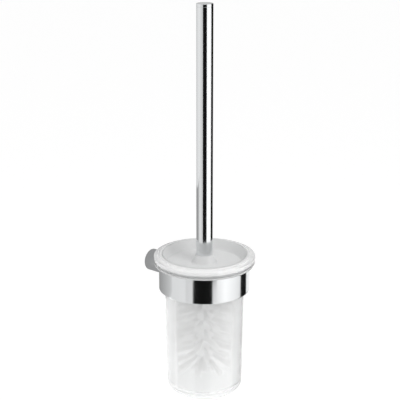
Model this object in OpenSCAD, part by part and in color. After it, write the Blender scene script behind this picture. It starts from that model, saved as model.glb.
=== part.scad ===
// Wall-hung toilet brush set: a support ring on a short round post carries a tapered
// glass jar, and a brush with a tubular handle hangs through a dished lid into the jar.
// The back of the post stands on the wall plane y = 0, the set projects towards -Y and
// +Z is up. The origin is the centre of the wall bracket's back face.

/* [Support ring] */
// Outer diameter of the support ring
ring_d = 90; // [74:1:120]
// How far the support ring reaches above and below the post
ring_edge = 1.8; // [0.5:0.1:8]
// Wall thickness of the support ring
ring_wall = 1.5; // [1:0.1:2.5]

/* [Wall post] */
// Distance from the wall to the support ring
post_l = 25; // [24:1:65]
// Diameter of the round post
post_d = 22; // [21.5:0.5:26.5]
// Wall thickness of the post around the wall bracket
post_wall = 1.85; // [1.4:0.05:2.2]
// Thickness of the wall bracket
bracket_t = 12; // [9:0.5:14]
// Diameter of the two wall screw holes
screw_hole_d = 4.4; // [3.5:0.1:4.6]

/* [Glass jar] */
// Height of the jar from its foot to the top of its rim
jar_h = 144; // [112:0.2:180]
// Wall thickness of the jar
jar_wall = 3.6; // [2.5:0.1:5]
// Thickness of the jar's floor
jar_floor = 6; // [4:0.5:10]
// How much the radius of the jar shrinks down to its foot
jar_taper = 1.6; // [0:0.1:4]
// How far the rim reaches out past the support ring
rim_overhang = 5; // [2:0.5:9]
// Thickness of the rim at its inner edge
rim_t = 9.8; // [8:0.1:12]

/* [Lid] */
// Wall thickness of the dished lid
lid_t = 2.4; // [2:0.1:4]
// Depth of the dish below the jar's rim
dish_depth = 9.2; // [7:0.1:10.5]
// Height of the hub above the floor of the dish
hub_h = 8.4; // [4:0.1:14]

/* [Handle] */
// Diameter of the handle tube
tube_d = 16; // [13:0.5:24]
// Wall thickness of the handle tube
tube_wall = 1; // [0.8:0.1:1.5]
// Length of the handle from the lid to its top
handle_l = 244.8; // [180:0.2:320]
// Height of the cap that closes the handle
cap_t = 3; // [2:0.1:8]

/* [Brush head] */
// Diameter of the brush core
core_d = 18; // [15:0.5:22]
// Number of bristle tufts in each ring
tufts_per_row = 10; // [6:1:12]
// Diameter of a tuft where it enters the core
tuft_d = 3.2; // [2:0.1:4]
// Gap between the bristle tips and the inside of the jar
brush_gap = 1.4; // [1:0.1:6]
// Free height under the brush
tip_gap = 12; // [10:0.5:20]

/* [Hidden] */
$fn = 96;

play = 0.3;       // gap round a piece that turns or lifts
slip = 0.15;      // gap round a piece that is pushed in by hand
eps = 1;          // how far a cutting shape runs past the face it cuts

// Support ring and post
ring_r = ring_d / 2;
ring_in_r = ring_r - ring_wall;
reach = ring_r + post_l;                              // from the wall to the jar's axis
post_r = post_d / 2;
ring_top = post_r + ring_edge;
ring_h = 2 * ring_top;
socket_r = post_r - post_wall;
socket_l = bracket_t + play;
bracket_r = socket_r - slip;
screw_head_r = 4.15;                                  // countersunk head of a wall screw
screw_edge = 0.4;
screw_x = bracket_r - screw_edge - screw_head_r;      // wall screws stand at +x and -x
groove_at = 0.6;                                      // share of the bracket in front of the wall
groove_y = bracket_t * groove_at;
groove_h = 1.2;                                       // the groove's sides slope at 45 degrees
grub_r = 2;
grub_flat_r = 0.3;                                    // blunt point of the grub screw
grub_key = 1.15;
grub_key_depth = 1;

// Screw that joins the ring to the post
ring_screw_r = 2.5;
ring_screw_l = 12;
ring_head_r = 4.75;
ring_head_t = 2;
saddle_t = 0.8;
saddle_r = 5.5;
ring_key = 1.75;
ring_key_depth = 1;
saddle_y = ring_in_r - saddle_t;                      // from the jar's axis towards the wall

// Glide ring between the support ring and the jar
glide_t = 0.6;
glide_wall = 0.8;
glide_r = ring_in_r - play;
glide_in_r = glide_r - glide_wall;
shoulder_low = ring_head_r + play;                    // the jar widens above the screw head
shoulder_h = 2.5;                                     // it slopes at 45 degrees
shoulder_top = shoulder_low + shoulder_h;

// Glass jar
seat_z = ring_top + glide_t;
rim_z = seat_z + rim_t;
foot_z = rim_z - jar_h;
rim_r = ring_r + rim_overhang;
neck_r = glide_in_r - play;
body_r = neck_r - shoulder_h;
foot_r = body_r - jar_taper;
foot_round = 9;
rim_slope_h = 1.9;                                    // the rim's top falls this much outwards
rim_round = 1.2;
rim_under_round = 1.1;
foot_land = 2;                                        // flat ring that the jar stands on
punt_h = 1.2;                                         // hollow under the jar
punt_slope_w = 4;
punt_r = foot_r - foot_round - foot_land;
mouth_wall = 2.2;
mouth_r = neck_r - mouth_wall;
ledge_w = 5;
rebate_r = mouth_r + ledge_w;
rebate_h = rim_t * 2 / 3;
rebate_edge = 0.3;
ledge_z = rim_z - rebate_h;
bore_top_r = body_r - jar_wall;
bore_low_r = foot_r - jar_wall;
floor_z = foot_z + jar_floor;
floor_round = 6;

// Lid and its seal
lid_gap = 0.3;
throat_gap = 0.5;
seal_t = 0.8;
lid_seat_z = ledge_z + seal_t;
lid_r = rebate_r - lid_gap;
skirt_r = mouth_r - throat_gap;
lip_w = 3.3;                                          // width of the lid's edge, level with the rim
lip_round = 0.8;
skirt_edge = 1.2;
dish_z = rim_z - dish_depth;
dish_r = skirt_r - lid_t;
dish_round = 1.2;
lid_low_z = dish_z - lid_t;
throat_z = lid_low_z - throat_gap;                    // the jar's bore narrows below the lid
throat_h = 9;
hub_z = dish_z + hub_h;
rod_r = 3;
tube_r = tube_d / 2;
hub_lip = 0.9;
hub_r = tube_r + hub_lip;
hub_flare = 3.1;
hub_foot_h = 1.6;
hub_edge = 0.5;

// Handle
gasket_t = 0.5;
gasket_lip = 0.3;
tube_low = hub_z + gasket_t;
handle_top = tube_low + handle_l;
tube_top = handle_top - cap_t;
tube_in_r = tube_r - tube_wall;
tube_edge = 0.25;
cap_round = 0.6;
cap_plug_l = 8;
insert_l = 20;
insert_bore_l = 14;

// Fastening under the lid and the stem
washer_t = 1.2;
washer_r = 8;
nut_h = 5;
nut_r = 5.77;
stem_top = lid_low_z - washer_t - nut_h;
stem_l = 13.2;
stem_r = 6.5;
stem_bore_l = 11;
stem_low = stem_top - stem_l;

// Brush head, screwed on to the spigot of the stem
thread_l = 9;
spigot_r = 5;
thread_fit = 0.06;
head_seal_t = 1;
core_top = stem_low - head_seal_t;
core_r = core_d / 2;
brush_r = bore_low_r - brush_gap;
socket_depth = 3;
tuft_flare = 1.8;
tuft_sides = 24;
steep_count = 5;
steep_slope = 62;     // slope of the inner tip tufts below level
steep_reach = 22;
slant_count = 8;
slant_slope = 25;     // slope of the outer tip tufts below level
dome_z = floor_z + tip_gap + steep_reach * sin(steep_slope) + tuft_d / 2;
top_margin = 6.4;
low_margin = 6.2;
rows = 7;
row_pitch = (core_top - top_margin - dome_z - low_margin) / (rows - 1);
tuft_phase = 25.5;

// Points on an arc about [x, z], from angle a to angle b
fine_steps = 12;
function arc(x, z, r, a, b, n = 8) =
    [for (i = [0 : n]) let (t = a + (b - a) * i / n) [x + r * cos(t), z + r * sin(t)]];

// Height of ring number k of tufts, counted from the top
function row_z(k) = core_top - top_margin - (k - 1) * row_pitch;

// Turn of ring number k, so that each ring stands between the tufts of its neighbours
function row_turn(k) = tuft_phase + (k % 2) * 180 / tufts_per_row;

module on_jar_axis() {
    translate([0, -reach, 0]) children();
}

// Cylinder along Y from y = -far to y = -near
module rod_y(r, far, near) {
    translate([0, -far, 0]) rotate([-90, 0, 0]) cylinder(r = r, h = far - near);
}

// Tube about the jar's axis from z = low to z = high
module sleeve(r_out, r_in, low, high) {
    on_jar_axis() translate([0, 0, low]) difference() {
        cylinder(r = r_out, h = high - low);
        translate([0, 0, -eps]) cylinder(r = r_in, h = high - low + 2 * eps);
    }
}

// ---- Fixed to the wall ----

module wall_bracket() {
    color("slategray") difference() {
        rod_y(bracket_r, bracket_t, 0);
        for (x = [-screw_x, screw_x]) translate([x, 0, 0]) {
            rod_y(screw_hole_d / 2, bracket_t + eps, -eps);
            translate([0, -bracket_t, 0]) rotate([-90, 0, 0])
                cylinder(r1 = screw_head_r, r2 = screw_hole_d / 2,
                         h = screw_head_r - screw_hole_d / 2);
        }
        translate([0, -groove_y, 0]) rotate([-90, 0, 0]) rotate_extrude()
            polygon([[bracket_r - groove_h, 0], [bracket_r + eps, -groove_h - eps],
                     [bracket_r + eps, groove_h + eps]]);
    }
}

module post() {
    color("gainsboro") difference() {
        rod_y(post_r, reach - ring_in_r, 0);
        on_jar_axis() cylinder(r = ring_r, h = 2 * post_d, center = true);
        rod_y(socket_r, socket_l, -eps);
        rod_y(ring_screw_r, reach, reach - saddle_y - ring_screw_l - play);
        translate([0, -groove_y, -post_r - eps]) cylinder(r = grub_r, h = post_wall + 2 * eps);
    }
}

module grub_screw() {
    low = -post_r + slip;
    point = -bracket_r + groove_h - grub_flat_r;
    point_h = grub_r - grub_flat_r;
    color("dimgray") translate([0, -groove_y, 0]) difference() {
        union() {
            translate([0, 0, low]) cylinder(r = grub_r, h = point - point_h - low);
            translate([0, 0, point - point_h])
                cylinder(r1 = grub_r, r2 = grub_flat_r, h = point_h);
        }
        translate([0, 0, low - eps]) cylinder(r = grub_key, h = grub_key_depth + eps, $fn = 6);
    }
}

module support_ring() {
    color("gainsboro") difference() {
        sleeve(ring_r, ring_in_r, -ring_top, ring_top);
        rod_y(ring_screw_r, reach, 0);
    }
}

module saddle_washer() {
    color("silver") difference() {
        intersection() {
            rod_y(saddle_r, reach, 0);
            sleeve(ring_in_r, saddle_y, -ring_top, ring_top);
        }
        rod_y(ring_screw_r, reach, 0);
    }
}

// Pan-head screw from inside the ring; its head is hollowed to bear on the saddle washer
module ring_screw() {
    head_y = reach - saddle_y;
    color("silver") difference() {
        union() {
            rod_y(ring_screw_r, head_y + ring_head_t / 2, head_y - ring_screw_l);
            difference() {
                rod_y(ring_head_r, head_y + ring_head_t, head_y - saddle_t);
                on_jar_axis() difference() {
                    cylinder(r = ring_r + eps, h = ring_h, center = true);
                    cylinder(r = saddle_y, h = 2 * ring_h, center = true);
                }
            }
        }
        translate([0, -head_y - ring_head_t - eps, 0]) rotate([-90, 0, 0])
            cylinder(r = ring_key, h = ring_key_depth + eps, $fn = 6);
    }
}

// ---- Turns in the support ring ----

module glide_ring() {
    color("whitesmoke") on_jar_axis() rotate_extrude() polygon([
        [glide_in_r, shoulder_top], [glide_r, shoulder_top], [glide_r, ring_top],
        [ring_r, ring_top], [ring_r, seat_z], [glide_in_r, seat_z]
    ]);
}

// ---- Lifts out of the support ring ----

module glass_jar() {
    rim_angle = atan(rim_slope_h / (rim_r - rim_round - rebate_r - rebate_edge));
    outside = concat(
        [[0, foot_z + punt_h], [punt_r - punt_slope_w, foot_z + punt_h], [punt_r, foot_z]],
        arc(foot_r - foot_round, foot_z + foot_round, foot_round, -90, 0, fine_steps),
        [[body_r, shoulder_low], [neck_r, shoulder_top], [neck_r, seat_z]],
        arc(rim_r - rim_under_round, seat_z + rim_under_round, rim_under_round, -90, 0),
        arc(rim_r - rim_round, rim_z - rim_slope_h - rim_round, rim_round, 0, 90 - rim_angle),
        [[rebate_r + rebate_edge, rim_z]]);
    inside = concat(
        [[rebate_r, rim_z - rebate_edge], [rebate_r, ledge_z], [mouth_r, ledge_z], [mouth_r, throat_z],
         [bore_top_r, throat_z - throat_h]],
        arc(bore_low_r - floor_round, floor_z + floor_round, floor_round, 0, -90),
        [[0, floor_z]]);
    color("azure", 0.4) on_jar_axis() rotate_extrude() polygon(concat(outside, inside));
}

// ---- Lifts with the lid, which turns on it ----

module lid_seal() {
    color("lightgray") sleeve(rebate_r - play, mouth_r + play, ledge_z, lid_seat_z);
}

// ---- Lid, handle and stem ----

module lid() {
    dish = concat(
        arc(lid_r - lip_round, rim_z - lip_round, lip_round, 0, 90),
        arc(lid_r - lip_w + lip_round, rim_z - lip_round, lip_round, 90, 180),
        arc(dish_r - dish_round, dish_z + dish_round, dish_round, 0, -90));
    hub = [[hub_r + hub_flare, dish_z], [hub_r + hub_flare / 3, dish_z + hub_foot_h],
           [hub_r, hub_z - hub_edge], [hub_r - hub_edge, hub_z], [rod_r + slip, hub_z]];
    under = [[rod_r + slip, lid_low_z], [skirt_r - skirt_edge, lid_low_z],
             [skirt_r, lid_low_z + skirt_edge], [skirt_r, lid_seat_z], [lid_r, lid_seat_z]];
    color("aliceblue") on_jar_axis() rotate_extrude() polygon(concat(under, dish, hub));
}

module foot_gasket() {
    color("darkgray") sleeve(tube_r + gasket_lip, rod_r + slip, hub_z, tube_low);
}

module handle_tube() {
    color("gainsboro") on_jar_axis() rotate_extrude() polygon([
        [tube_in_r, tube_low], [tube_r - tube_edge, tube_low], [tube_r, tube_low + tube_edge],
        [tube_r, tube_top - tube_edge], [tube_r - tube_edge, tube_top], [tube_in_r, tube_top]
    ]);
}

module end_cap() {
    color("gainsboro") on_jar_axis() rotate_extrude() polygon(concat(
        [[0, tube_top - cap_plug_l], [tube_in_r, tube_top - cap_plug_l], [tube_in_r, tube_top],
         [tube_r - tube_edge, tube_top], [tube_r, tube_top + tube_edge]],
        arc(tube_r - cap_round, handle_top - cap_round, cap_round, 0, 90),
        [[0, handle_top]]));
}

module tube_insert() {
    color("goldenrod") on_jar_axis() translate([0, 0, tube_low]) difference() {
        cylinder(r = tube_in_r, h = insert_l);
        translate([0, 0, -eps]) cylinder(r = rod_r, h = insert_bore_l + eps);
    }
}

module stem_rod() {
    color("silver") on_jar_axis() translate([0, 0, stem_top - stem_bore_l])
        cylinder(r = rod_r, h = tube_low + insert_bore_l - stem_top + stem_bore_l);
}

module lid_washer() {
    color("silver") sleeve(washer_r, rod_r + slip, lid_low_z - washer_t, lid_low_z);
}

module lid_nut() {
    color("silver") on_jar_axis() translate([0, 0, stem_top]) difference() {
        cylinder(r = nut_r, h = nut_h, $fn = 6);
        translate([0, 0, -eps]) cylinder(r = rod_r, h = nut_h + 2 * eps);
    }
}

module brush_stem() {
    color("white") on_jar_axis() difference() {
        union() {
            translate([0, 0, stem_low]) cylinder(r = stem_r, h = stem_l);
            translate([0, 0, core_top - thread_l]) cylinder(r = spigot_r, h = thread_l + head_seal_t);
        }
        translate([0, 0, stem_top - stem_bore_l]) cylinder(r = rod_r, h = stem_bore_l + eps);
    }
}

// ---- Brush head ----

module head_seal() {
    color("lightgray") sleeve(stem_r, spigot_r + play, core_top, stem_low);
}

// Puts its children along +X at each tuft of ring number k
module at_row(k) {
    for (i = [0 : tufts_per_row - 1])
        translate([0, 0, row_z(k)]) rotate([0, 0, row_turn(k) + i * 360 / tufts_per_row])
            children();
}

// Puts its children along +X at each tip tuft of one circle on the core's dome
module at_tip(count, slope, turn) {
    for (i = [0 : count - 1])
        translate([0, 0, dome_z]) rotate([0, slope, turn + i * 360 / count]) children();
}

// One tuft along +X: a round root in its hole and bristles that spread to the tip
module tuft(reach_r) {
    rotate([0, 90, 0]) {
        translate([0, 0, core_r - socket_depth])
            cylinder(d = tuft_d, h = socket_depth, $fn = tuft_sides);
        translate([0, 0, core_r])
            cylinder(d1 = tuft_d, d2 = tuft_d + tuft_flare, h = reach_r - core_r,
                     $fn = tuft_sides);
    }
}

module tuft_hole() {
    rotate([0, 90, 0]) translate([0, 0, core_r - socket_depth])
        cylinder(d = tuft_d, h = socket_depth + eps, $fn = tuft_sides);
}

module brush_core() {
    color("white") on_jar_axis() difference() {
        union() {
            translate([0, 0, dome_z]) cylinder(r = core_r, h = core_top - dome_z);
            translate([0, 0, dome_z]) sphere(r = core_r);
        }
        translate([0, 0, core_top - thread_l - eps])
            cylinder(r = spigot_r + thread_fit, h = thread_l + 2 * eps);
        for (k = [1 : rows]) at_row(k) tuft_hole();
        at_tip(slant_count, slant_slope, tuft_phase) tuft_hole();
        at_tip(steep_count, steep_slope, 0) tuft_hole();
    }
}

module tufts_row(k) {
    color("white") on_jar_axis() at_row(k) tuft(brush_r);
}

module tip_tufts() {
    color("white") on_jar_axis() {
        at_tip(slant_count, slant_slope, tuft_phase) tuft(brush_r);
        at_tip(steep_count, steep_slope, 0) tuft(steep_reach);
    }
}

wall_bracket();
post();
grub_screw();
support_ring();
ring_screw();
saddle_washer();
glide_ring();
glass_jar();
lid_seal();
lid();
foot_gasket();
handle_tube();
end_cap();
tube_insert();
stem_rod();
lid_washer();
lid_nut();
brush_stem();
head_seal();
brush_core();
tufts_row(1);  // tufts_row_1
tufts_row(2);  // tufts_row_2
tufts_row(3);  // tufts_row_3
tufts_row(4);  // tufts_row_4
tufts_row(5);  // tufts_row_5
tufts_row(6);  // tufts_row_6
tufts_row(7);  // tufts_row_7
tip_tufts();
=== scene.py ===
"""Wall-hung toilet brush set: pieces, finishes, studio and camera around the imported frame."""

import math
import random

import bpy
from mathutils import Matrix, Vector


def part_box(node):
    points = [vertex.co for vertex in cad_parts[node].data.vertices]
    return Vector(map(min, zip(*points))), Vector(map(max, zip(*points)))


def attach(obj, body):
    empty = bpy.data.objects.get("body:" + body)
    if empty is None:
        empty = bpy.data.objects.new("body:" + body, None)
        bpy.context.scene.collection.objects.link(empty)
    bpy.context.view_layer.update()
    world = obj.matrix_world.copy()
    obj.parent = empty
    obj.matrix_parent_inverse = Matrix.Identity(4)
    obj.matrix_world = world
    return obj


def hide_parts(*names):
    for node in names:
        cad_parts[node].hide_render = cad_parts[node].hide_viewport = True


bl_info = {
    "name": "Toilet brush set",
    "version": (1, 0, 0),
    "blender": (4, 5, 0),
    "location": "3D View > Sidebar > Brush set",
    "description": "Builds a wall-hung toilet brush set and its studio around a packed frame",
    "category": "Add Mesh",
}

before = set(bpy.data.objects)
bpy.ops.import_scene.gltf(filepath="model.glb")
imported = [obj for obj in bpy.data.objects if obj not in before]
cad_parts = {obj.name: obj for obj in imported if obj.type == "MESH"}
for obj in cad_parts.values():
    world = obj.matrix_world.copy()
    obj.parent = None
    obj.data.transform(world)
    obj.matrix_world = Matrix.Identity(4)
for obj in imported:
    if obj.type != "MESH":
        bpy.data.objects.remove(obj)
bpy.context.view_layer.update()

MM = 0.001


def frame_box(node):
    """Lowest and highest corner of a CAD node as vectors."""
    low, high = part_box(node)
    return Vector(low), Vector(high)


def outer_radius(node, axis=0):
    """Half of a round node's width."""
    low, high = frame_box(node)
    return (high[axis] - low[axis]) / 2


RING_LOW, RING_HIGH = frame_box("support_ring")
JAR_LOW, JAR_HIGH = frame_box("glass_jar")
LID_LOW, LID_HIGH = frame_box("lid")
TUBE_LOW, TUBE_HIGH = frame_box("handle_tube")
CAP_LOW, CAP_HIGH = frame_box("end_cap")
GLIDE_LOW, GLIDE_HIGH = frame_box("glide_ring")
SEAL_LOW, SEAL_HIGH = frame_box("lid_seal")
STEM_LOW, STEM_HIGH = frame_box("brush_stem")
CORE_LOW, CORE_HIGH = frame_box("brush_core")
GASKET_LOW, GASKET_HIGH = frame_box("foot_gasket")

RING_R = outer_radius("support_ring")
AXIS = Vector((0, RING_LOW.y + RING_R, 0))
REACH = -AXIS.y
RIM_R = outer_radius("glass_jar")
TUBE_R = outer_radius("handle_tube")
POST_R = outer_radius("post")
LID_R = outer_radius("lid")
STEM_R = outer_radius("brush_stem")
CORE_R = outer_radius("brush_core")
ROW_NODES = sorted(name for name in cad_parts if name.startswith("tufts_row_"))
BRUSH_R = 33 * MM

HAIR = 0.02 * MM    # keeps two pieces that turn on each other from sharing a face
PLAY = 0.3 * MM     # room beside the glide ring
GLIDE_WALL = 0.8 * MM
SEAL_WIDTH = 4.4 * MM
SKIRT_INSET = 5.2 * MM
SEGMENTS = 160      # faces round a large turned piece
FINE_SEGMENTS = 96  # faces round a small one
CARD_STEPS = 240    # faces along a curved card


# ---- Sizes and colours that a user would change ----


class BrushSetSizes(bpy.types.PropertyGroup):
    """Sizes that the frame's boxes don't give."""

    ring_wall: bpy.props.FloatProperty(
        name="Ring wall", description="Wall thickness of the support ring",
        default=1.5 * MM, unit="LENGTH")
    jar_wall: bpy.props.FloatProperty(
        name="Jar wall", description="Wall thickness of the glass jar",
        default=3.6 * MM, unit="LENGTH")
    jar_taper: bpy.props.FloatProperty(
        name="Jar taper", description="How much the jar's radius shrinks down to its foot",
        default=1.6 * MM, unit="LENGTH")
    jar_floor: bpy.props.FloatProperty(
        name="Jar floor", description="Thickness of the jar's floor",
        default=6 * MM, unit="LENGTH")
    rim_slope: bpy.props.FloatProperty(
        name="Rim slope", description="How far the rim's top falls towards its outer edge",
        default=1.9 * MM, unit="LENGTH")
    lip_width: bpy.props.FloatProperty(
        name="Lip width", description="Width of the lid's edge, level with the jar's rim",
        default=3.3 * MM, unit="LENGTH")
    lid_thickness: bpy.props.FloatProperty(
        name="Lid thickness", description="Wall thickness of the dished lid",
        default=2.4 * MM, unit="LENGTH")
    dish_depth: bpy.props.FloatProperty(
        name="Dish depth", description="Depth of the lid's dish below the jar's rim",
        default=9.2 * MM, unit="LENGTH")
    filaments: bpy.props.IntProperty(
        name="Filaments", description="Number of filaments in each tuft", default=48)
    filament_radius: bpy.props.FloatProperty(
        name="Filament radius", description="Radius of one nylon filament",
        default=0.17 * MM, unit="LENGTH")


class BrushSetColours(bpy.types.PropertyGroup):
    """Colours of the finishes."""

    chrome: bpy.props.FloatVectorProperty(
        name="Chrome", description="Colour of the chrome plate", subtype="COLOR",
        size=4, default=(0.93, 0.935, 0.94, 1))
    glass: bpy.props.FloatVectorProperty(
        name="Glass", description="Tint of the jar's glass", subtype="COLOR",
        size=4, default=(0.99, 0.995, 0.995, 1))
    etched: bpy.props.FloatVectorProperty(
        name="Etched inside", description="Tint of the jar's etched inside", subtype="COLOR",
        size=4, default=(0.96, 0.965, 0.965, 1))
    satin: bpy.props.FloatVectorProperty(
        name="Satin lid", description="Colour of the satin lid", subtype="COLOR",
        size=4, default=(0.77, 0.775, 0.775, 1))
    nylon: bpy.props.FloatVectorProperty(
        name="Nylon", description="Colour of the bristles", subtype="COLOR",
        size=4, default=(0.96, 0.96, 0.955, 1))
    plastic: bpy.props.FloatVectorProperty(
        name="Plastic", description="Colour of the core and stem", subtype="COLOR",
        size=4, default=(0.86, 0.86, 0.85, 1))


class BrushSetView(bpy.types.PropertyGroup):
    """The camera's place and the studio's light."""

    azimuth: bpy.props.FloatProperty(
        name="Azimuth", description="Turn of the camera round the jar", subtype="ANGLE",
        default=math.radians(-50.8))
    pitch: bpy.props.FloatProperty(
        name="Pitch", description="How far the camera looks down", subtype="ANGLE",
        default=math.radians(17.73))
    distance: bpy.props.FloatProperty(
        name="Distance", description="Distance from the camera to the point it looks at",
        default=1.0675, unit="LENGTH")
    target_height: bpy.props.FloatProperty(
        name="Target height", description="Height of that point above the jar's rim",
        default=0.0547, unit="LENGTH")
    target_left: bpy.props.FloatProperty(
        name="Target offset", description="How far that point lies left of the jar's axis",
        default=0.0044, unit="LENGTH")
    lens: bpy.props.FloatProperty(
        name="Lens", description="Focal length in millimetres", default=99.02)
    surround: bpy.props.FloatProperty(
        name="Surround", description="Brightness of the room in mirror reflections",
        default=0.74)
    soft: bpy.props.FloatProperty(
        name="Soft light", description="Brightness of the room's light on matt surfaces",
        default=0.72)


# ---- Outlines ----


def arc_corner(before, corner, after, radius, steps):
    """Points that round one corner of an outline, with a short straight run at each end."""
    to_before = (before - corner).normalized()
    to_after = (after - corner).normalized()
    opening = to_before.angle(to_after)
    reach = radius / math.tan(opening / 2)
    hold = min(0.25 * MM, reach)
    centre = corner + (to_before + to_after).normalized() * (radius / math.sin(opening / 2))
    first = corner + to_before * reach - centre
    last = corner + to_after * reach - centre
    turn = first.angle_signed(last)
    points = [corner + to_before * (reach + hold)]
    for step in range(steps + 1):
        spoke = first.copy()
        spoke.rotate(Matrix.Rotation(-turn * step / steps, 2))
        points.append(centre + spoke)
    points.append(corner + to_after * (reach + hold))
    return points


def outline(corners, closed=False):
    """An outline of (radius, height) points from corners (radius, height, rounding)."""
    points = []
    places = [Vector(c[:2]) for c in corners]
    count = len(corners)
    for i, corner in enumerate(corners):
        rounding = corner[2] if len(corner) > 2 else 0
        at_end = not closed and i in (0, count - 1)
        if rounding and not at_end:
            steps = corner[3] if len(corner) > 3 else 6
            after = places[(i + 1) % count]
            points += arc_corner(places[i - 1], places[i], after, rounding, steps)
        else:
            points.append(places[i])
    if closed:
        points.append(points[0].copy())
    return points


# ---- Mesh tools ----


def deselect_all():
    """Leaves nothing selected, so that an operator acts on the new piece alone."""
    if bpy.context.object and bpy.context.object.mode != "OBJECT":
        bpy.ops.object.mode_set(mode="OBJECT")
    bpy.ops.object.select_all(action="DESELECT")


def make_active(piece):
    """Selects one piece and makes it the active one."""
    deselect_all()
    piece.select_set(True)
    bpy.context.view_layer.objects.active = piece


def name_active(name):
    """Names the piece that an operator just made."""
    piece = bpy.context.object
    piece.name = name
    piece.data.name = name
    return piece


def select_loop(piece, height, radius):
    """In edit mode, selects the ring of points at one height and radius."""
    bpy.ops.mesh.select_all(action="DESELECT")
    bpy.ops.object.mode_set(mode="OBJECT")
    for vertex in piece.data.vertices:
        far = abs(vertex.co.xy.length - radius) + abs(vertex.co.z - height)
        vertex.select = far < 1e-6
    bpy.ops.object.mode_set(mode="EDIT")


def turned(name, points, segments=SEGMENTS):
    """A turned piece about the world's Z axis, extruded ring by ring along its outline."""
    deselect_all()
    rings = list(points)
    start_pole = rings[0].x < 1e-7
    first = rings[1] if start_pole else rings[0]
    bpy.ops.mesh.primitive_circle_add(
        vertices=segments, radius=first.x, fill_type="NOTHING", location=(0, 0, 0))
    piece = name_active(name)
    bpy.ops.object.mode_set(mode="EDIT")
    bpy.ops.mesh.select_mode(type="VERT")
    bpy.ops.mesh.select_all(action="SELECT")
    bpy.ops.transform.translate(value=(0, 0, first.y))
    if start_pole:
        bpy.ops.mesh.extrude_region_move(
            TRANSFORM_OT_translate={"value": (0, 0, rings[0].y - first.y)})
        bpy.ops.mesh.merge(type="CENTER")
        select_loop(piece, first.y, first.x)
    last = first
    for ring in rings[2 if start_pole else 1:]:
        bpy.ops.mesh.extrude_region_move(
            TRANSFORM_OT_translate={"value": (0, 0, ring.y - last.y)})
        if ring.x < 1e-7:
            bpy.ops.mesh.merge(type="CENTER")
            break
        scale = ring.x / last.x
        bpy.ops.transform.resize(value=(scale, scale, 1), center_override=(0, 0, ring.y))
        last = ring
    bpy.ops.mesh.select_all(action="SELECT")
    bpy.ops.mesh.remove_doubles(threshold=1e-6)
    bpy.ops.mesh.normals_make_consistent(inside=False)
    bpy.ops.object.mode_set(mode="OBJECT")
    return piece


def smooth(piece, angle=35):
    """Smooth shading, broken at edges sharper than an angle in degrees."""
    make_active(piece)
    bpy.ops.object.shade_smooth_by_angle(angle=math.radians(angle))


def settle(piece, place=None):
    """Moves a piece to its place and puts that place in its mesh."""
    piece.matrix_world = place if place else Matrix.Translation(AXIS)
    make_active(piece)
    bpy.ops.object.transform_apply(location=True, rotation=True, scale=True)


def cut(piece, cutter):
    """Cuts one shape out of a piece and removes the cutter."""
    make_active(piece)
    bpy.ops.object.modifier_add(type="BOOLEAN")
    boolean = piece.modifiers[-1]
    boolean.operation = "DIFFERENCE"
    boolean.solver = "EXACT"
    boolean.object = cutter
    bpy.ops.object.modifier_apply(modifier=boolean.name)
    bpy.data.objects.remove(cutter, do_unlink=True)


def along_y():
    """Place that turns a piece's +Z to -Y, starting at the wall."""
    return Matrix.Rotation(math.radians(90), 4, "X")


def hand_over(piece, body, material, nodes=()):
    """Gives a finished piece its finish, its body and the CAD nodes it stands for."""
    if material:
        piece.data.materials.clear()
        piece.data.materials.append(material)
    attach(piece, body)
    if nodes:
        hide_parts(*nodes)


# ---- Shader tools ----


def add_node(tree, kind, **values):
    """A shader node with its settings and input values."""
    node = tree.nodes.new(kind)
    for key, value in values.items():
        if hasattr(node, key):
            setattr(node, key, value)
        else:
            node.inputs[key.replace("_", " ")].default_value = value
    return node


def new_group(name, inputs, outputs):
    """An empty shader node group with named sockets."""
    group = bpy.data.node_groups.new(name, "ShaderNodeTree")
    for label, kind, value in inputs:
        socket = group.interface.new_socket(label, in_out="INPUT", socket_type=kind)
        socket.default_value = value
    for label, kind in outputs:
        group.interface.new_socket(label, in_out="OUTPUT", socket_type=kind)
    return group, group.nodes.new("NodeGroupInput"), group.nodes.new("NodeGroupOutput")


def polish_group():
    """Faint cloudy wipe marks and hairlines of a polished or moulded surface."""
    name = "Wipe marks"
    if name in bpy.data.node_groups:
        return bpy.data.node_groups[name]
    group, given, result = new_group(
        name,
        [("Scale", "NodeSocketFloat", 20.0), ("Low", "NodeSocketFloat", 0.03),
         ("High", "NodeSocketFloat", 0.07), ("Hairlines", "NodeSocketFloat", 900.0)],
        [("Mask", "NodeSocketFloat"), ("Roughness", "NodeSocketFloat"),
         ("Height", "NodeSocketFloat")])
    place = add_node(group, "ShaderNodeTexCoord")
    cloud = add_node(group, "ShaderNodeTexNoise")
    cloud.inputs["Detail"].default_value = 4
    cloud.inputs["Roughness"].default_value = 0.6
    hair = add_node(group, "ShaderNodeTexNoise")
    hair.inputs["Detail"].default_value = 2
    spread = add_node(group, "ShaderNodeMapRange")
    spread.inputs["From Min"].default_value = 0.3
    spread.inputs["From Max"].default_value = 0.72
    rough = add_node(group, "ShaderNodeMapRange")
    links = group.links
    links.new(place.outputs["Object"], cloud.inputs["Vector"])
    links.new(place.outputs["Object"], hair.inputs["Vector"])
    links.new(given.outputs["Scale"], cloud.inputs["Scale"])
    links.new(given.outputs["Hairlines"], hair.inputs["Scale"])
    links.new(cloud.outputs["Fac"], spread.inputs["Value"])
    links.new(spread.outputs["Result"], rough.inputs["Value"])
    links.new(given.outputs["Low"], rough.inputs["To Min"])
    links.new(given.outputs["High"], rough.inputs["To Max"])
    links.new(spread.outputs["Result"], result.inputs["Mask"])
    links.new(rough.outputs["Result"], result.inputs["Roughness"])
    links.new(hair.outputs["Fac"], result.inputs["Height"])
    return group


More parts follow.
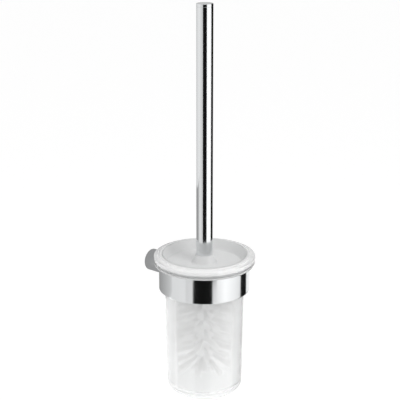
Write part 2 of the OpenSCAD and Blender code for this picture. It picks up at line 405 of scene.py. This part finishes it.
def frost_group():
    """Fine etched grain of satin glass and moulded plastic."""
    name = "Etched grain"
    if name in bpy.data.node_groups:
        return bpy.data.node_groups[name]
    group, given, result = new_group(
        name,
        [("Grain", "NodeSocketFloat", 2200.0), ("Low", "NodeSocketFloat", 0.4),
         ("High", "NodeSocketFloat", 0.5)],
        [("Mask", "NodeSocketFloat"), ("Roughness", "NodeSocketFloat"),
         ("Height", "NodeSocketFloat")])
    place = add_node(group, "ShaderNodeTexCoord")
    cloud = add_node(group, "ShaderNodeTexNoise")
    cloud.inputs["Scale"].default_value = 35
    cloud.inputs["Detail"].default_value = 3
    grain = add_node(group, "ShaderNodeTexVoronoi")
    rough = add_node(group, "ShaderNodeMapRange")
    links = group.links
    links.new(place.outputs["Object"], cloud.inputs["Vector"])
    links.new(place.outputs["Object"], grain.inputs["Vector"])
    links.new(given.outputs["Grain"], grain.inputs["Scale"])
    links.new(cloud.outputs["Fac"], rough.inputs["Value"])
    links.new(given.outputs["Low"], rough.inputs["To Min"])
    links.new(given.outputs["High"], rough.inputs["To Max"])
    links.new(cloud.outputs["Fac"], result.inputs["Mask"])
    links.new(rough.outputs["Result"], result.inputs["Roughness"])
    links.new(grain.outputs["Distance"], result.inputs["Height"])
    return group


def new_material(name):
    """A material with a Principled shader. Returns it with its tree and shader."""
    material = bpy.data.materials.new(name)
    material.use_nodes = True
    tree = material.node_tree
    return material, tree, tree.nodes["Principled BSDF"]


def place_group(tree, group, **values):
    """A group node in a material's tree, with its own values."""
    node = tree.nodes.new("ShaderNodeGroup")
    node.node_tree = group
    for key, value in values.items():
        node.inputs[key].default_value = value
    return node


def tinted(tree, shader, mask, colour, lift):
    """Base colour that varies a little with a mask, lift being the brightness at mask 1."""
    mix = add_node(tree, "ShaderNodeMix", data_type="RGBA")
    mix.inputs[6].default_value = colour
    mix.inputs[7].default_value = tuple(min(1, c * lift) for c in colour[:3]) + (1,)
    tree.links.new(mask, mix.inputs[0])
    tree.links.new(mix.outputs[2], shader.inputs["Base Color"])


def bumped(tree, shader, height, strength, distance):
    """Joins a height to the shader's normal."""
    bump = add_node(tree, "ShaderNodeBump")
    bump.inputs["Strength"].default_value = strength
    bump.inputs["Distance"].default_value = distance
    tree.links.new(height, bump.inputs["Height"])
    tree.links.new(bump.outputs["Normal"], shader.inputs["Normal"])


def metal(name, colour, low, high, scale=18.0, strength=0.02):
    """Polished or turned metal with faint wipe marks."""
    material, tree, shader = new_material(name)
    shader.inputs["Metallic"].default_value = 1
    marks = place_group(tree, polish_group(), Scale=scale, Low=low, High=high)
    tinted(tree, shader, marks.outputs["Mask"], colour, 0.97)
    tree.links.new(marks.outputs["Roughness"], shader.inputs["Roughness"])
    bumped(tree, shader, marks.outputs["Height"], strength, 0.02 * MM)
    return material


def plastic(name, colour, low, high, grain=1800.0, strength=0.08, translucent=0.0):
    """Moulded plastic, rubber or nylon with a fine grain."""
    material, tree, shader = new_material(name)
    grains = place_group(tree, frost_group(), Grain=grain, Low=low, High=high)
    tinted(tree, shader, grains.outputs["Mask"], colour, 1.05)
    tree.links.new(grains.outputs["Roughness"], shader.inputs["Roughness"])
    bumped(tree, shader, grains.outputs["Height"], strength, 0.05 * MM)
    shader.inputs["Subsurface Weight"].default_value = translucent
    shader.inputs["Subsurface Radius"].default_value = (2 * MM, 2 * MM, 2 * MM)
    shader.inputs["Subsurface Scale"].default_value = 1.0
    return material


def let_light_through(tree, shader, clearness):
    """Lets lamps and bounced light pass the glass, as they do through a thin real wall."""
    path = tree.nodes.new("ShaderNodeLightPath")
    either = add_node(tree, "ShaderNodeMath", operation="MAXIMUM")
    through = tree.nodes.new("ShaderNodeBsdfTransparent")
    through.inputs["Color"].default_value = (clearness, clearness, clearness, 1)
    mix = tree.nodes.new("ShaderNodeMixShader")
    output = tree.nodes["Material Output"]
    tree.links.new(path.outputs["Is Shadow Ray"], either.inputs[0])
    tree.links.new(path.outputs["Is Diffuse Ray"], either.inputs[1])
    tree.links.new(either.outputs[0], mix.inputs[0])
    tree.links.new(shader.outputs[0], mix.inputs[1])
    tree.links.new(through.outputs[0], mix.inputs[2])
    tree.links.new(mix.outputs[0], output.inputs["Surface"])


def clear_glass(colour):
    """Clear polished glass of the jar's outside and rim."""
    material, tree, shader = new_material("clear_glass")
    shader.inputs["Transmission Weight"].default_value = 1
    shader.inputs["IOR"].default_value = 1.5
    marks = place_group(tree, polish_group(), Scale=14.0, Low=0.0, High=0.02)
    tinted(tree, shader, marks.outputs["Mask"], colour, 0.995)
    tree.links.new(marks.outputs["Roughness"], shader.inputs["Roughness"])
    let_light_through(tree, shader, 0.98)
    return material


def satin_glass(name, colour, clear, low, high):
    """Etched glass, of which a share is clear and the rest white."""
    material, tree, shader = new_material(name)
    shader.inputs["Transmission Weight"].default_value = clear
    shader.inputs["IOR"].default_value = 1.5
    grains = place_group(tree, frost_group(), Grain=2600.0, Low=low, High=high)
    tinted(tree, shader, grains.outputs["Mask"], colour, 0.98)
    tree.links.new(grains.outputs["Roughness"], shader.inputs["Roughness"])
    bumped(tree, shader, grains.outputs["Height"], 0.1, 0.03 * MM)
    let_light_through(tree, shader, 0.99)
    return material


def satin_lid(colour):
    """Satin white lid with a soft translucent body and a low silky reflection."""
    material, tree, shader = new_material("satin_lid")
    grains = place_group(tree, frost_group(), Grain=2400.0, Low=0.3, High=0.4)
    tinted(tree, shader, grains.outputs["Mask"], colour, 1.03)
    tree.links.new(grains.outputs["Roughness"], shader.inputs["Roughness"])
    bumped(tree, shader, grains.outputs["Height"], 0.06, 0.03 * MM)
    shader.inputs["Subsurface Weight"].default_value = 0.5
    shader.inputs["Subsurface Radius"].default_value = (3 * MM, 3 * MM, 3 * MM)
    shader.inputs["Subsurface Scale"].default_value = 1.0
    return material


def finishes():
    """All materials by name, made on first use."""
    colours = bpy.context.scene.brush_set_colours
    rim_tint = (0.98, 0.98, 0.98, 1)
    makers = {
        "chrome": lambda: metal("chrome", tuple(colours.chrome), 0.0, 0.018),
        "zinc": lambda: metal("zinc", (0.5, 0.51, 0.53, 1), 0.35, 0.5, 60.0, 0.1),
        "steel": lambda: metal("steel", (0.6, 0.6, 0.61, 1), 0.2, 0.32, 40.0, 0.05),
        "brass": lambda: metal("brass", (0.7, 0.53, 0.25, 1), 0.2, 0.3, 40.0, 0.05),
        "clear_glass": lambda: clear_glass(tuple(colours.glass)),
        "satin_inside": lambda: satin_glass(
            "satin_inside", tuple(colours.etched), 0.74, 0.12, 0.17),
        "satin_rim": lambda: satin_glass("satin_rim", rim_tint, 0.45, 0.1, 0.16),
        "polished_rim": lambda: satin_glass("polished_rim", rim_tint, 0.9, 0.01, 0.04),
        "satin_lid": lambda: satin_lid(tuple(colours.satin)),
        "clear_plastic": lambda: plastic("clear_plastic", (0.9, 0.9, 0.9, 1), 0.3, 0.4),
        "silicone": lambda: plastic("silicone", (0.72, 0.73, 0.74, 1), 0.4, 0.5),
        "white_plastic": lambda: plastic("white_plastic", tuple(colours.plastic), 0.32, 0.42),
        "nylon": lambda: plastic("nylon", tuple(colours.nylon), 0.35, 0.5, 900.0, 0.02),
    }

    def get(name):
        return bpy.data.materials.get(name) or makers[name]()

    return get


def sizes():
    """The size settings of this scene."""
    return bpy.context.scene.brush_set_sizes


# ---- Pieces ----


class BrushSetRing(bpy.types.Operator):
    """Builds the support ring and the plastic glide ring in it"""

    bl_idname = "brush_set.ring"
    bl_label = "Support ring"

    def execute(self, context):
        get = finishes()
        inner = RING_R - sizes().ring_wall
        edge = 0.45 * MM
        ring = turned("support_ring_chrome", outline([
            (inner, RING_LOW.z, 0.25 * MM), (RING_R, RING_LOW.z, edge),
            (RING_R, RING_HIGH.z, edge), (inner, RING_HIGH.z, 0.25 * MM)], closed=True))
        settle(ring)
        smooth(ring)
        hand_over(ring, "root", get("chrome"), ["support_ring"])

        glide_out = inner - PLAY
        glide_in = glide_out - GLIDE_WALL
        glide = turned("glide_ring_plastic", outline([
            (glide_in, GLIDE_LOW.z, 0.1 * MM), (glide_out, GLIDE_LOW.z, 0.1 * MM),
            (glide_out, RING_HIGH.z + HAIR), (RING_R, RING_HIGH.z + HAIR, 0.08 * MM),
            (RING_R, GLIDE_HIGH.z, 0.08 * MM), (glide_in, GLIDE_HIGH.z, 0.1 * MM)],
            closed=True))
        settle(glide)
        smooth(glide)
        hand_over(glide, "glide", get("clear_plastic"), ["glide_ring"])
        return {"FINISHED"}


class BrushSetPost(bpy.types.Operator):
    """Builds the round post between the wall and the ring"""

    bl_idname = "brush_set.post"
    bl_label = "Wall post"

    def execute(self, context):
        get = finishes()
        socket_r = POST_R - 1.85 * MM
        socket_l = 12.3 * MM
        into_ring = 3 * MM
        grub_r = 2 * MM
        grub_y = -7.2 * MM
        length = REACH - RING_R + into_ring
        post = turned("post_chrome", outline([
            (0, socket_l), (socket_r, socket_l), (socket_r, 0, 0.2 * MM),
            (POST_R, 0, 0.5 * MM), (POST_R, length), (0, length)]), FINE_SEGMENTS)
        settle(post, along_y())
        deselect_all()
        bpy.ops.mesh.primitive_cylinder_add(
            vertices=512, radius=RING_R, depth=4 * POST_R, location=AXIS)
        cut(post, bpy.context.object)
        deselect_all()
        bpy.ops.mesh.primitive_cylinder_add(
            vertices=32, radius=grub_r, depth=POST_R, location=(0, grub_y, -POST_R))
        cut(post, bpy.context.object)
        smooth(post)
        hand_over(post, "root", get("chrome"), ["post"])
        return {"FINISHED"}


class BrushSetJar(bpy.types.Operator):
    """Builds the glass jar, clear outside and etched inside"""

    bl_idname = "brush_set.jar"
    bl_label = "Glass jar"

    def execute(self, context):
        get = finishes()
        jar = sizes()
        neck = RING_R - jar.ring_wall - 2 * PLAY - GLIDE_WALL
        body = neck - 2.5 * MM
        foot = body - jar.jar_taper
        bore_top = body - jar.jar_wall
        bore_low = foot - jar.jar_wall
        neck_wall = 2.2 * MM
        ledge = 5 * MM
        mouth = neck - neck_wall
        rebate = mouth + ledge
        seat = GLIDE_HIGH.z
        shoulder_low = 5.05 * MM
        shoulder_top = GLIDE_LOW.z
        floor = JAR_LOW.z + jar.jar_floor
        throat = LID_LOW.z - 0.5 * MM
        punt = 1.2 * MM
        piece = turned("glass_jar_glass", outline([
            (0, JAR_LOW.z + punt), (foot - 15 * MM, JAR_LOW.z + punt, 6 * MM, 6),
            (foot - 11 * MM, JAR_LOW.z, 2 * MM, 4), (foot, JAR_LOW.z, 8.9 * MM, 16),
            (body, shoulder_low, 1.5 * MM, 4), (neck, shoulder_top, 1.5 * MM, 4),
            (neck, seat, 0.2 * MM, 3), (RIM_R, seat, 1.1 * MM, 8),
            (RIM_R, JAR_HIGH.z - jar.rim_slope, 0.9 * MM, 10),
            (rebate, JAR_HIGH.z, 0.4 * MM, 5), (rebate, SEAL_LOW.z, 0.3 * MM, 3),
            (mouth, SEAL_LOW.z, 0.4 * MM, 4), (mouth, throat, 4 * MM, 5),
            (bore_top, throat - 9 * MM, 6 * MM, 6), (bore_low, floor, 6 * MM, 12),
            (0, floor)]))
        settle(piece)
        smooth(piece, 60)
        finish = ("clear_glass", "satin_inside", "satin_rim", "polished_rim")
        for name in finish:
            piece.data.materials.append(get(name))
        shoulder = JAR_HIGH.z - jar.rim_slope - 0.3 * MM
        side = RIM_R - 1.2 * MM
        for face in piece.data.polygons:
            place = face.center - AXIS
            inside = place.z > floor - 0.1 * MM and place.xy.length < mouth + 0.2 * MM
            if inside and place.z < SEAL_LOW.z - 0.5 * MM:
                face.material_index = finish.index("satin_inside")
            elif place.z > shoulder or (place.z > seat and mouth < place.xy.length < side):
                face.material_index = finish.index("satin_rim")
            elif place.z > seat - 0.1 * MM and place.xy.length > mouth:
                face.material_index = finish.index("polished_rim")
        hand_over(piece, "jar", None, ["glass_jar"])
        return {"FINISHED"}


class BrushSetLid(bpy.types.Operator):
    """Builds the dished lid with its lip and hub, its seal and the foot gasket"""

    bl_idname = "brush_set.lid"
    bl_label = "Lid and seals"

    def execute(self, context):
        get = finishes()
        lid = sizes()
        skirt = LID_R - SKIRT_INSET
        dish = skirt - lid.lid_thickness
        lip = LID_R - lid.lip_width
        groove_z = LID_HIGH.z - 0.5 * MM
        dish_z = LID_HIGH.z - lid.dish_depth
        hub = TUBE_R + 0.9 * MM
        hub_z = GASKET_LOW.z
        bore = 3.15 * MM
        seat = SEAL_HIGH.z
        piece = turned("lid_satin", outline([
            (bore, LID_LOW.z, 0.1 * MM), (skirt, LID_LOW.z, 1.2 * MM, 6), (skirt, seat, 0.3 * MM),
            (LID_R, seat, 0.3 * MM), (LID_R, LID_HIGH.z, 0.7 * MM, 8),
            (lip + 1.1 * MM, LID_HIGH.z, 0.15 * MM), (lip + 0.9 * MM, groove_z),
            (lip + 0.5 * MM, groove_z), (lip + 0.4 * MM, LID_HIGH.z, 0.15 * MM),
            (lip, LID_HIGH.z, 0.3 * MM, 5),
            (dish, dish_z, 1.6 * MM, 8), (hub + 3.1 * MM, dish_z, 2.5 * MM, 8),
            (hub, hub_z, 0.5 * MM, 5), (bore, hub_z, 0.1 * MM)], closed=True))
        settle(piece)
        smooth(piece, 60)
        hand_over(piece, "brush", get("satin_lid"), ["lid"])

        seal_in = LID_R - SEAL_WIDTH
        seal = turned("lid_seal_ring", outline([
            (seal_in, SEAL_LOW.z, 0.2 * MM), (LID_R, SEAL_LOW.z, 0.2 * MM),
            (LID_R, SEAL_HIGH.z - HAIR, 0.2 * MM), (seal_in, SEAL_HIGH.z - HAIR, 0.2 * MM)],
            closed=True))
        settle(seal)
        smooth(seal)
        hand_over(seal, "seal", get("silicone"), ["lid_seal"])

        gasket_r = TUBE_R + 0.3 * MM
        gasket = turned("foot_gasket_ring", outline([
            (bore, GASKET_LOW.z), (gasket_r, GASKET_LOW.z, 0.15 * MM),
            (gasket_r, GASKET_HIGH.z, 0.15 * MM), (bore, GASKET_HIGH.z)], closed=True),
            FINE_SEGMENTS)
        settle(gasket)
        smooth(gasket)
        hand_over(gasket, "brush", get("silicone"), ["foot_gasket"])
        return {"FINISHED"}


class BrushSetHandle(bpy.types.Operator):
    """Builds the handle tube and the cap that closes it"""

    bl_idname = "brush_set.handle"
    bl_label = "Handle"

    def execute(self, context):
        get = finishes()
        bore = TUBE_R - 1 * MM
        edge = 0.22 * MM
        tube = turned("handle_tube_chrome", outline([
            (bore, TUBE_LOW.z, 0.1 * MM), (TUBE_R, TUBE_LOW.z, edge),
            (TUBE_R, TUBE_HIGH.z, edge), (bore, TUBE_HIGH.z, 0.1 * MM)], closed=True),
            FINE_SEGMENTS)
        settle(tube)
        smooth(tube)
        hand_over(tube, "brush", get("chrome"), ["handle_tube"])

        cap = turned("end_cap_chrome", outline([
            (0, CAP_LOW.z), (bore, CAP_LOW.z, 0.3 * MM), (bore, TUBE_HIGH.z),
            (TUBE_R, TUBE_HIGH.z, edge), (TUBE_R, CAP_HIGH.z, 0.7 * MM, 8), (0, CAP_HIGH.z)]),
            FINE_SEGMENTS)
        settle(cap)
        smooth(cap)
        hand_over(cap, "brush", get("chrome"), ["end_cap"])
        return {"FINISHED"}


class BrushSetStem(bpy.types.Operator):
    """Builds the plastic stem and the brush core"""

    bl_idname = "brush_set.stem"
    bl_label = "Stem and core"

    def execute(self, context):
        get = finishes()
        spigot = 5 * MM
        shoulder = CORE_HIGH.z + 1 * MM
        stem = turned("brush_stem_plastic", outline([
            (0, STEM_LOW.z), (spigot, STEM_LOW.z, 0.5 * MM), (spigot, shoulder),
            (STEM_R, shoulder, 0.4 * MM), (STEM_R, STEM_HIGH.z, 0.8 * MM), (0, STEM_HIGH.z)]),
            FINE_SEGMENTS)
        settle(stem)
        smooth(stem)
        hand_over(stem, "brush", get("white_plastic"), ["brush_stem"])

        dome = CORE_LOW.z + CORE_R
        socket = spigot + 0.06 * MM
        core = turned("brush_core_plastic", outline([
            (socket, CORE_HIGH.z - 9 * MM), (socket, CORE_HIGH.z, 0.3 * MM),
            (CORE_R, CORE_HIGH.z, 1 * MM), (CORE_R, dome)]
            + [(CORE_R * math.cos(a), dome - CORE_R * math.sin(a))
               for a in [math.radians(d) for d in range(10, 90, 10)]]
            + [(0, CORE_LOW.z)]), FINE_SEGMENTS)
        settle(core)
        smooth(core)
        hand_over(core, "head", get("white_plastic"), ["brush_core"])
        return {"FINISHED"}


def filament(length, radius):
    """One nylon filament along +X from the origin, three-sided and slightly bowed."""
    deselect_all()
    bpy.ops.mesh.primitive_circle_add(vertices=3, radius=radius, fill_type="NOTHING")
    piece = name_active("filament")
    bpy.ops.object.mode_set(mode="EDIT")
    bpy.ops.mesh.select_all(action="SELECT")
    bpy.ops.transform.rotate(value=math.radians(90), orient_axis="Y", center_override=(0, 0, 0))
    parts = 3
    for part in range(parts):
        lift = 0.012 * length * (part - (parts - 1) / 2)
        bpy.ops.mesh.extrude_region_move(
            TRANSFORM_OT_translate={"value": (length / parts, 0, lift)})
    bpy.ops.mesh.edge_face_add()
    bpy.ops.mesh.select_all(action="SELECT")
    bpy.ops.mesh.normals_make_consistent(inside=False)
    bpy.ops.object.mode_set(mode="OBJECT")
    return piece


def tuft(start, reach, root_r, tip_r, count, radius, draw):
    """A bundle of filaments along +X that spreads from its root to its tip."""
    single = filament(reach - start, radius)
    copies = []
    golden = math.pi * (3 - math.sqrt(5))
    for i in range(count):
        share = math.sqrt((i + 0.5) / count)
        angle = i * golden + draw.uniform(-0.2, 0.2)
        side = Vector((0, math.cos(angle), math.sin(angle)))
        root = Vector((start, 0, 0)) + side * root_r * share
        tip = Vector((reach * draw.uniform(0.985, 1.0), 0, 0)) + side * tip_r * share
        run = tip - root
        spin = Matrix.Rotation(draw.uniform(0, 2 * math.pi), 4, "X")
        scale = Matrix.Diagonal((run.length / (reach - start), 1, 1, 1))
        copy = single.copy()
        copy.data = single.data.copy()
        copy.matrix_world = (Matrix.Translation(root)
                             @ run.to_track_quat("X", "Z").to_matrix().to_4x4() @ spin @ scale)
        bpy.context.collection.objects.link(copy)
        copies.append(copy)
    bpy.data.objects.remove(single, do_unlink=True)
    return join("tuft", copies)


def join(name, pieces):
    """Joins pieces into one mesh with its origin at the world's origin."""
    deselect_all()
    for piece in pieces:
        piece.select_set(True)
    bpy.context.view_layer.objects.active = pieces[0]
    bpy.ops.object.transform_apply(location=True, rotation=True, scale=True)
    bpy.ops.object.join()
    return name_active(name)


def place_copies(name, model, places):
    """Copies of one model, each with its own mesh, joined into one piece."""
    copies = []
    for place in places:
        copy = model.copy()
        copy.data = model.data.copy()
        copy.matrix_world = place
        bpy.context.collection.objects.link(copy)
        copies.append(copy)
    return join(name, copies)


class BrushSetBristles(bpy.types.Operator):
    """Builds the rings of bristle tufts and the tufts at the tip"""

    bl_idname = "brush_set.bristles"
    bl_label = "Bristles"

    def execute(self, context):
        get = finishes()
        draw = random.Random(7)
        count = sizes().filaments
        radius = sizes().filament_radius
        tufts_per_row = 10
        phase = math.radians(25.5)
        root_r = 1.35 * MM
        tip_r = 3.6 * MM
        start = CORE_R - 1 * MM
        model = tuft(start, BRUSH_R, root_r, tip_r, count, radius, draw)
        for number, node in enumerate(ROW_NODES, 1):
            low, high = frame_box(node)
            centre = AXIS + Vector((0, 0, (low.z + high.z) / 2))
            turn = phase + (number % 2) * math.pi / tufts_per_row
            places = [Matrix.Translation(centre)
                      @ Matrix.Rotation(turn + i * 2 * math.pi / tufts_per_row, 4, "Z")
                      @ Matrix.Rotation(draw.uniform(0, 2 * math.pi), 4, "X")
                      for i in range(tufts_per_row)]
            row = place_copies(node + "_nylon", model, places)
            hand_over(row, "head", get("nylon"), [node])
        dome = AXIS + Vector((0, 0, CORE_LOW.z + CORE_R))
        circles = ((8, math.radians(25), phase, BRUSH_R), (5, math.radians(62), 0.0, 22 * MM))
        tips = []
        for amount, slope, turn, reach in circles:
            short = tuft(start, reach, root_r, tip_r, count, radius, draw)
            places = [Matrix.Translation(dome)
                      @ Matrix.Rotation(turn + i * 2 * math.pi / amount, 4, "Z")
                      @ Matrix.Rotation(slope, 4, "Y") for i in range(amount)]
            tips.append(place_copies("tip_circle", short, places))
            bpy.data.objects.remove(short, do_unlink=True)
        bpy.data.objects.remove(model, do_unlink=True)
        tip = join("tip_tufts_nylon", tips)
        hand_over(tip, "head", get("nylon"), ["tip_tufts"])
        return {"FINISHED"}


class BrushSetFittings(bpy.types.Operator):
    """Gives the small fittings that keep their frame shape their finishes"""

    bl_idname = "brush_set.fittings"
    bl_label = "Fittings"

    def execute(self, context):
        get = finishes()
        finish = {
            "wall_bracket": "zinc", "grub_screw": "steel", "ring_screw": "steel",
            "saddle_washer": "steel", "tube_insert": "brass", "stem_rod": "steel",
            "lid_washer": "steel", "lid_nut": "steel", "head_seal": "silicone",
        }
        for node, name in finish.items():
            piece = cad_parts[node]
            if not piece.material_slots:
                piece.data.materials.append(None)
            for place in piece.material_slots:
                place.material = get(name)
        return {"FINISHED"}


# ---- Studio ----


def glow(name, brightness):
    """A plain glowing card material."""
    material = bpy.data.materials.new(name)
    material.use_nodes = True
    tree = material.node_tree
    tree.nodes.clear()
    emission = tree.nodes.new("ShaderNodeEmission")
    emission.inputs["Color"].default_value = (1, 1, 1, 1)
    emission.inputs["Strength"].default_value = brightness
    output = tree.nodes.new("ShaderNodeOutputMaterial")
    tree.links.new(emission.outputs["Emission"], output.inputs["Surface"])
    return material


def bearing(angle):
    """Unit vector at an angle to the right of the direction from the jar to the camera."""
    turn = bpy.context.scene.brush_set_view.azimuth + math.radians(angle)
    return Vector((math.sin(turn), -math.cos(turn), 0))


def hide_from_all_but_mirrors(card):
    """Leaves a card to reflections alone."""
    for ray in ("camera", "diffuse", "transmission", "volume_scatter", "shadow"):
        setattr(card, "visible_" + ray, False)


def level_at(cards, place):
    """Brightness at one place along a row of cards."""
    for start, end, first, last in cards:
        if start <= place <= end:
            return first + (last - first) * (place - start) / (end - start)
    return BLACK


def graded_glow(name):
    """A glowing card material whose brightness is the mesh's own level attribute."""
    material = glow(name, 1.0)
    tree = material.node_tree
    level = add_node(tree, "ShaderNodeAttribute", attribute_name="level")
    tree.links.new(level.outputs["Fac"], tree.nodes["Emission"].inputs["Strength"])
    return material


def surround_card(name, cards, low, high, distance, material):
    """A curved upright band of cards round the jar."""
    start, end = cards[0][0], cards[-1][1]
    deselect_all()
    bpy.ops.mesh.primitive_grid_add(
        x_subdivisions=CARD_STEPS, y_subdivisions=1, size=1, location=(0, 0, 0))
    card = name_active(name)
    level = card.data.attributes.new("level", "FLOAT", "POINT")
    for vertex in card.data.vertices:
        angle = start + (end - start) * (vertex.co.x + 0.5)
        level.data[vertex.index].value = level_at(cards, angle)
        place = AXIS + bearing(angle) * distance
        vertex.co = (place.x, place.y, low + (high - low) * (vertex.co.y + 0.5))
    card.data.materials.append(material)
    hide_from_all_but_mirrors(card)
    return card


def soft_light(name, angle, height, distance, side, power):
    """A square lamp aimed at the jar's axis from a bearing in degrees."""
    lamp = bpy.data.lights.new(name, "AREA")
    lamp.shape = "RECTANGLE"
    lamp.size = side
    lamp.size_y = side
    lamp.energy = power
    piece = bpy.data.objects.new(name, lamp)
    bpy.context.collection.objects.link(piece)
    piece.location = AXIS + bearing(angle) * distance + Vector((0, 0, height))
    aim = AXIS - piece.location
    piece.rotation_euler = aim.to_track_quat("-Z", "Y").to_euler()
    piece.visible_glossy = False


# Rows of cards, each card (start bearing, end bearing, brightness at start, at end).
BLACK = 0.006
TUBE_CARDS = (
    (-180, -80, 0.6, 0.95), (-80, -25, 0.95, 0.7), (-25, 29, BLACK, BLACK),
    (29, 95, 1.25, 1.25), (95, 150, BLACK, BLACK), (150, 180, BLACK, 0.6))
RING_CARDS = (
    (-180, -150, 0.4, 0.4), (-150, -100, 0.4, 0.8), (-100, -45, 0.8, 0.9),
    (-45, -28, 0.75, 0.85), (-28, 19, BLACK, BLACK), (19, 50, 0.8, 1.25),
    (50, 98, 1.25, 0.9), (98, 125, BLACK, BLACK), (125, 180, 1.0, 1.1))
JAR_CARDS = (
    (-180, -95, 1.3, 1.0), (-95, -90, 2.4, 2.4), (-90, -28, 0.8, 0.9),
    (-28, 19, BLACK, BLACK), (19, 92, 1.0, 1.0), (92, 146, BLACK, BLACK),
    (146, 180, 1.0, 1.0))
# Brightness across the card that stands for the wall behind the post. It is 0.7 at its left end
# and falls to 0.35 near the post, as painted shade of the wall round the mount.
SHADED_WALL_CARDS = ((0, 0.5, 0.7, 0.35), (0.5, 1, 0.35, 0.35))


class BrushSetStage(bpy.types.Operator):
    """Builds the pale floor, the soft light, the cards that the chrome mirrors and the camera"""

    bl_idname = "brush_set.stage"
    bl_label = "Stage"

    def execute(self, context):
        self.build_world(context)
        self.build_floor()
        self.build_cards()
        soft_light("key_light", angle=45, height=1.15, distance=0.85, side=0.5, power=5.0)
        soft_light("top_light", angle=10, height=1.2, distance=0.35, side=1.2, power=0.3)
        self.build_camera(context)
        return {"FINISHED"}

    def build_world(self, context):
        """White as seen, a little below white for mirror reflections and for soft light."""
        world = bpy.data.worlds.new("white_room")
        context.scene.world = world
        world.use_nodes = True
        tree = world.node_tree
        tree.nodes.clear()
        path = tree.nodes.new("ShaderNodeLightPath")
        place = context.scene.brush_set_view
        shown = self.room(tree, 1.0)
        for ray, brightness in (("Is Glossy Ray", place.surround), ("Is Diffuse Ray", place.soft)):
            mix = tree.nodes.new("ShaderNodeMixShader")
            tree.links.new(path.outputs[ray], mix.inputs[0])
            tree.links.new(shown.outputs[0], mix.inputs[1])
            tree.links.new(self.room(tree, brightness).outputs[0], mix.inputs[2])
            shown = mix
        output = tree.nodes.new("ShaderNodeOutputWorld")
        tree.links.new(shown.outputs[0], output.inputs["Surface"])
        context.scene.view_settings.view_transform = "Standard"

    def room(self, tree, brightness):
        """A white background of one brightness."""
        background = tree.nodes.new("ShaderNodeBackground")
        background.inputs["Color"].default_value = (1, 1, 1, 1)
        background.inputs["Strength"].default_value = brightness
        return background

    def build_floor(self):
        """A plain pale floor well below the jar."""
        deselect_all()
        bpy.ops.mesh.primitive_plane_add(size=60, location=(0, 0, JAR_LOW.z - 0.45))
        floor = name_active("floor")
        material, _, shader = new_material("pale_floor")
        shader.inputs["Base Color"].default_value = (0.95, 0.95, 0.95, 1)
        shader.inputs["Roughness"].default_value = 0.9
        shader.inputs["Emission Color"].default_value = (1, 1, 1, 1)
        shader.inputs["Emission Strength"].default_value = 0.3
        floor.data.materials.append(material)

    def build_cards(self):
        """Dark flags and pale cards that only mirror reflections show, and a grey card standing
        for the wall behind the post, dimmer near the post as painted shade of that wall.
        """
        distance = 0.4
        tube_low = -0.128
        ring_low = -0.176
        end = 0.6
        graded = graded_glow("graded_card")
        surround_card("tube_surround", TUBE_CARDS, tube_low, end, distance, graded)
        surround_card("ring_surround", RING_CARDS, ring_low, tube_low, distance, graded)
        surround_card("jar_surround", JAR_CARDS, -end, ring_low, distance, graded)
        wall_left, wall_width, wall_y = -0.1, 0.16, 0.004
        wall_low, wall_height = -0.045, 0.115
        # Glowing grey card for the wall, dimmer near the post as painted shade of the wall, seen
        # only in mirror reflections.
        wall = surround_card("wall_card", SHADED_WALL_CARDS, 0, 1, distance, graded)
        for vertex, level in zip(wall.data.vertices, wall.data.attributes["level"].data):
            across = (vertex.index % (CARD_STEPS + 1)) / CARD_STEPS
            vertex.co = (wall_left + wall_width * across, wall_y,
                         wall_low + wall_height * vertex.co.z)
            level.value = level_at(SHADED_WALL_CARDS, across)

    def build_camera(self, context):
        """The camera, level and without shift."""
        place = context.scene.brush_set_view
        flat = bearing(0)
        right = Vector((math.cos(place.azimuth), math.sin(place.azimuth), 0))
        target = (AXIS + Vector((0, 0, JAR_HIGH.z + place.target_height))
                  - right * place.target_left)
        back = flat * math.cos(place.pitch) + Vector((0, 0, math.sin(place.pitch)))
        camera = bpy.data.cameras.new("camera")
        camera.lens = place.lens
        camera.sensor_width = 36
        camera.clip_start = 0.05
        camera.clip_end = 20
        piece = bpy.data.objects.new("camera", camera)
        context.collection.objects.link(piece)
        piece.location = target + back * place.distance
        piece.rotation_euler = (-back).to_track_quat("-Z", "Y").to_euler()
        context.scene.camera = piece


class BrushSetPanel(bpy.types.Panel):
    """Lists the settings and the steps of the brush set"""

    bl_idname = "VIEW3D_PT_brush_set"
    bl_label = "Brush set"
    bl_space_type = "VIEW_3D"
    bl_region_type = "UI"
    bl_category = "Brush set"

    def draw(self, context):
        for group in ("brush_set_sizes", "brush_set_colours", "brush_set_view"):
            settings = getattr(context.scene, group)
            for name in settings.bl_rna.properties.keys():
                if name not in ("rna_type", "name"):
                    self.layout.prop(settings, name)
        for step in STEPS:
            self.layout.operator(step.bl_idname)


STEPS = (BrushSetRing, BrushSetPost, BrushSetJar, BrushSetLid, BrushSetHandle, BrushSetStem,
         BrushSetBristles, BrushSetFittings, BrushSetStage)
GROUPS = {
    "brush_set_sizes": BrushSetSizes,
    "brush_set_colours": BrushSetColours,
    "brush_set_view": BrushSetView,
}


def register():
    """Registers the classes and hangs the settings on the scene."""
    for item in (*GROUPS.values(), *STEPS, BrushSetPanel):
        bpy.utils.register_class(item)
    for name, group in GROUPS.items():
        setattr(bpy.types.Scene, name, bpy.props.PointerProperty(type=group))


def unregister():
    """Takes the settings and the classes away again."""
    for name in GROUPS:
        delattr(bpy.types.Scene, name)
    for item in reversed((*GROUPS.values(), *STEPS, BrushSetPanel)):
        bpy.utils.unregister_class(item)


def main():
    """Runs every step."""
    register()
    bpy.ops.brush_set.ring()
    bpy.ops.brush_set.post()
    bpy.ops.brush_set.jar()
    bpy.ops.brush_set.lid()
    bpy.ops.brush_set.handle()
    bpy.ops.brush_set.stem()
    bpy.ops.brush_set.bristles()
    bpy.ops.brush_set.fittings()
    bpy.ops.brush_set.stage()


if __name__ == "__main__":
    main()
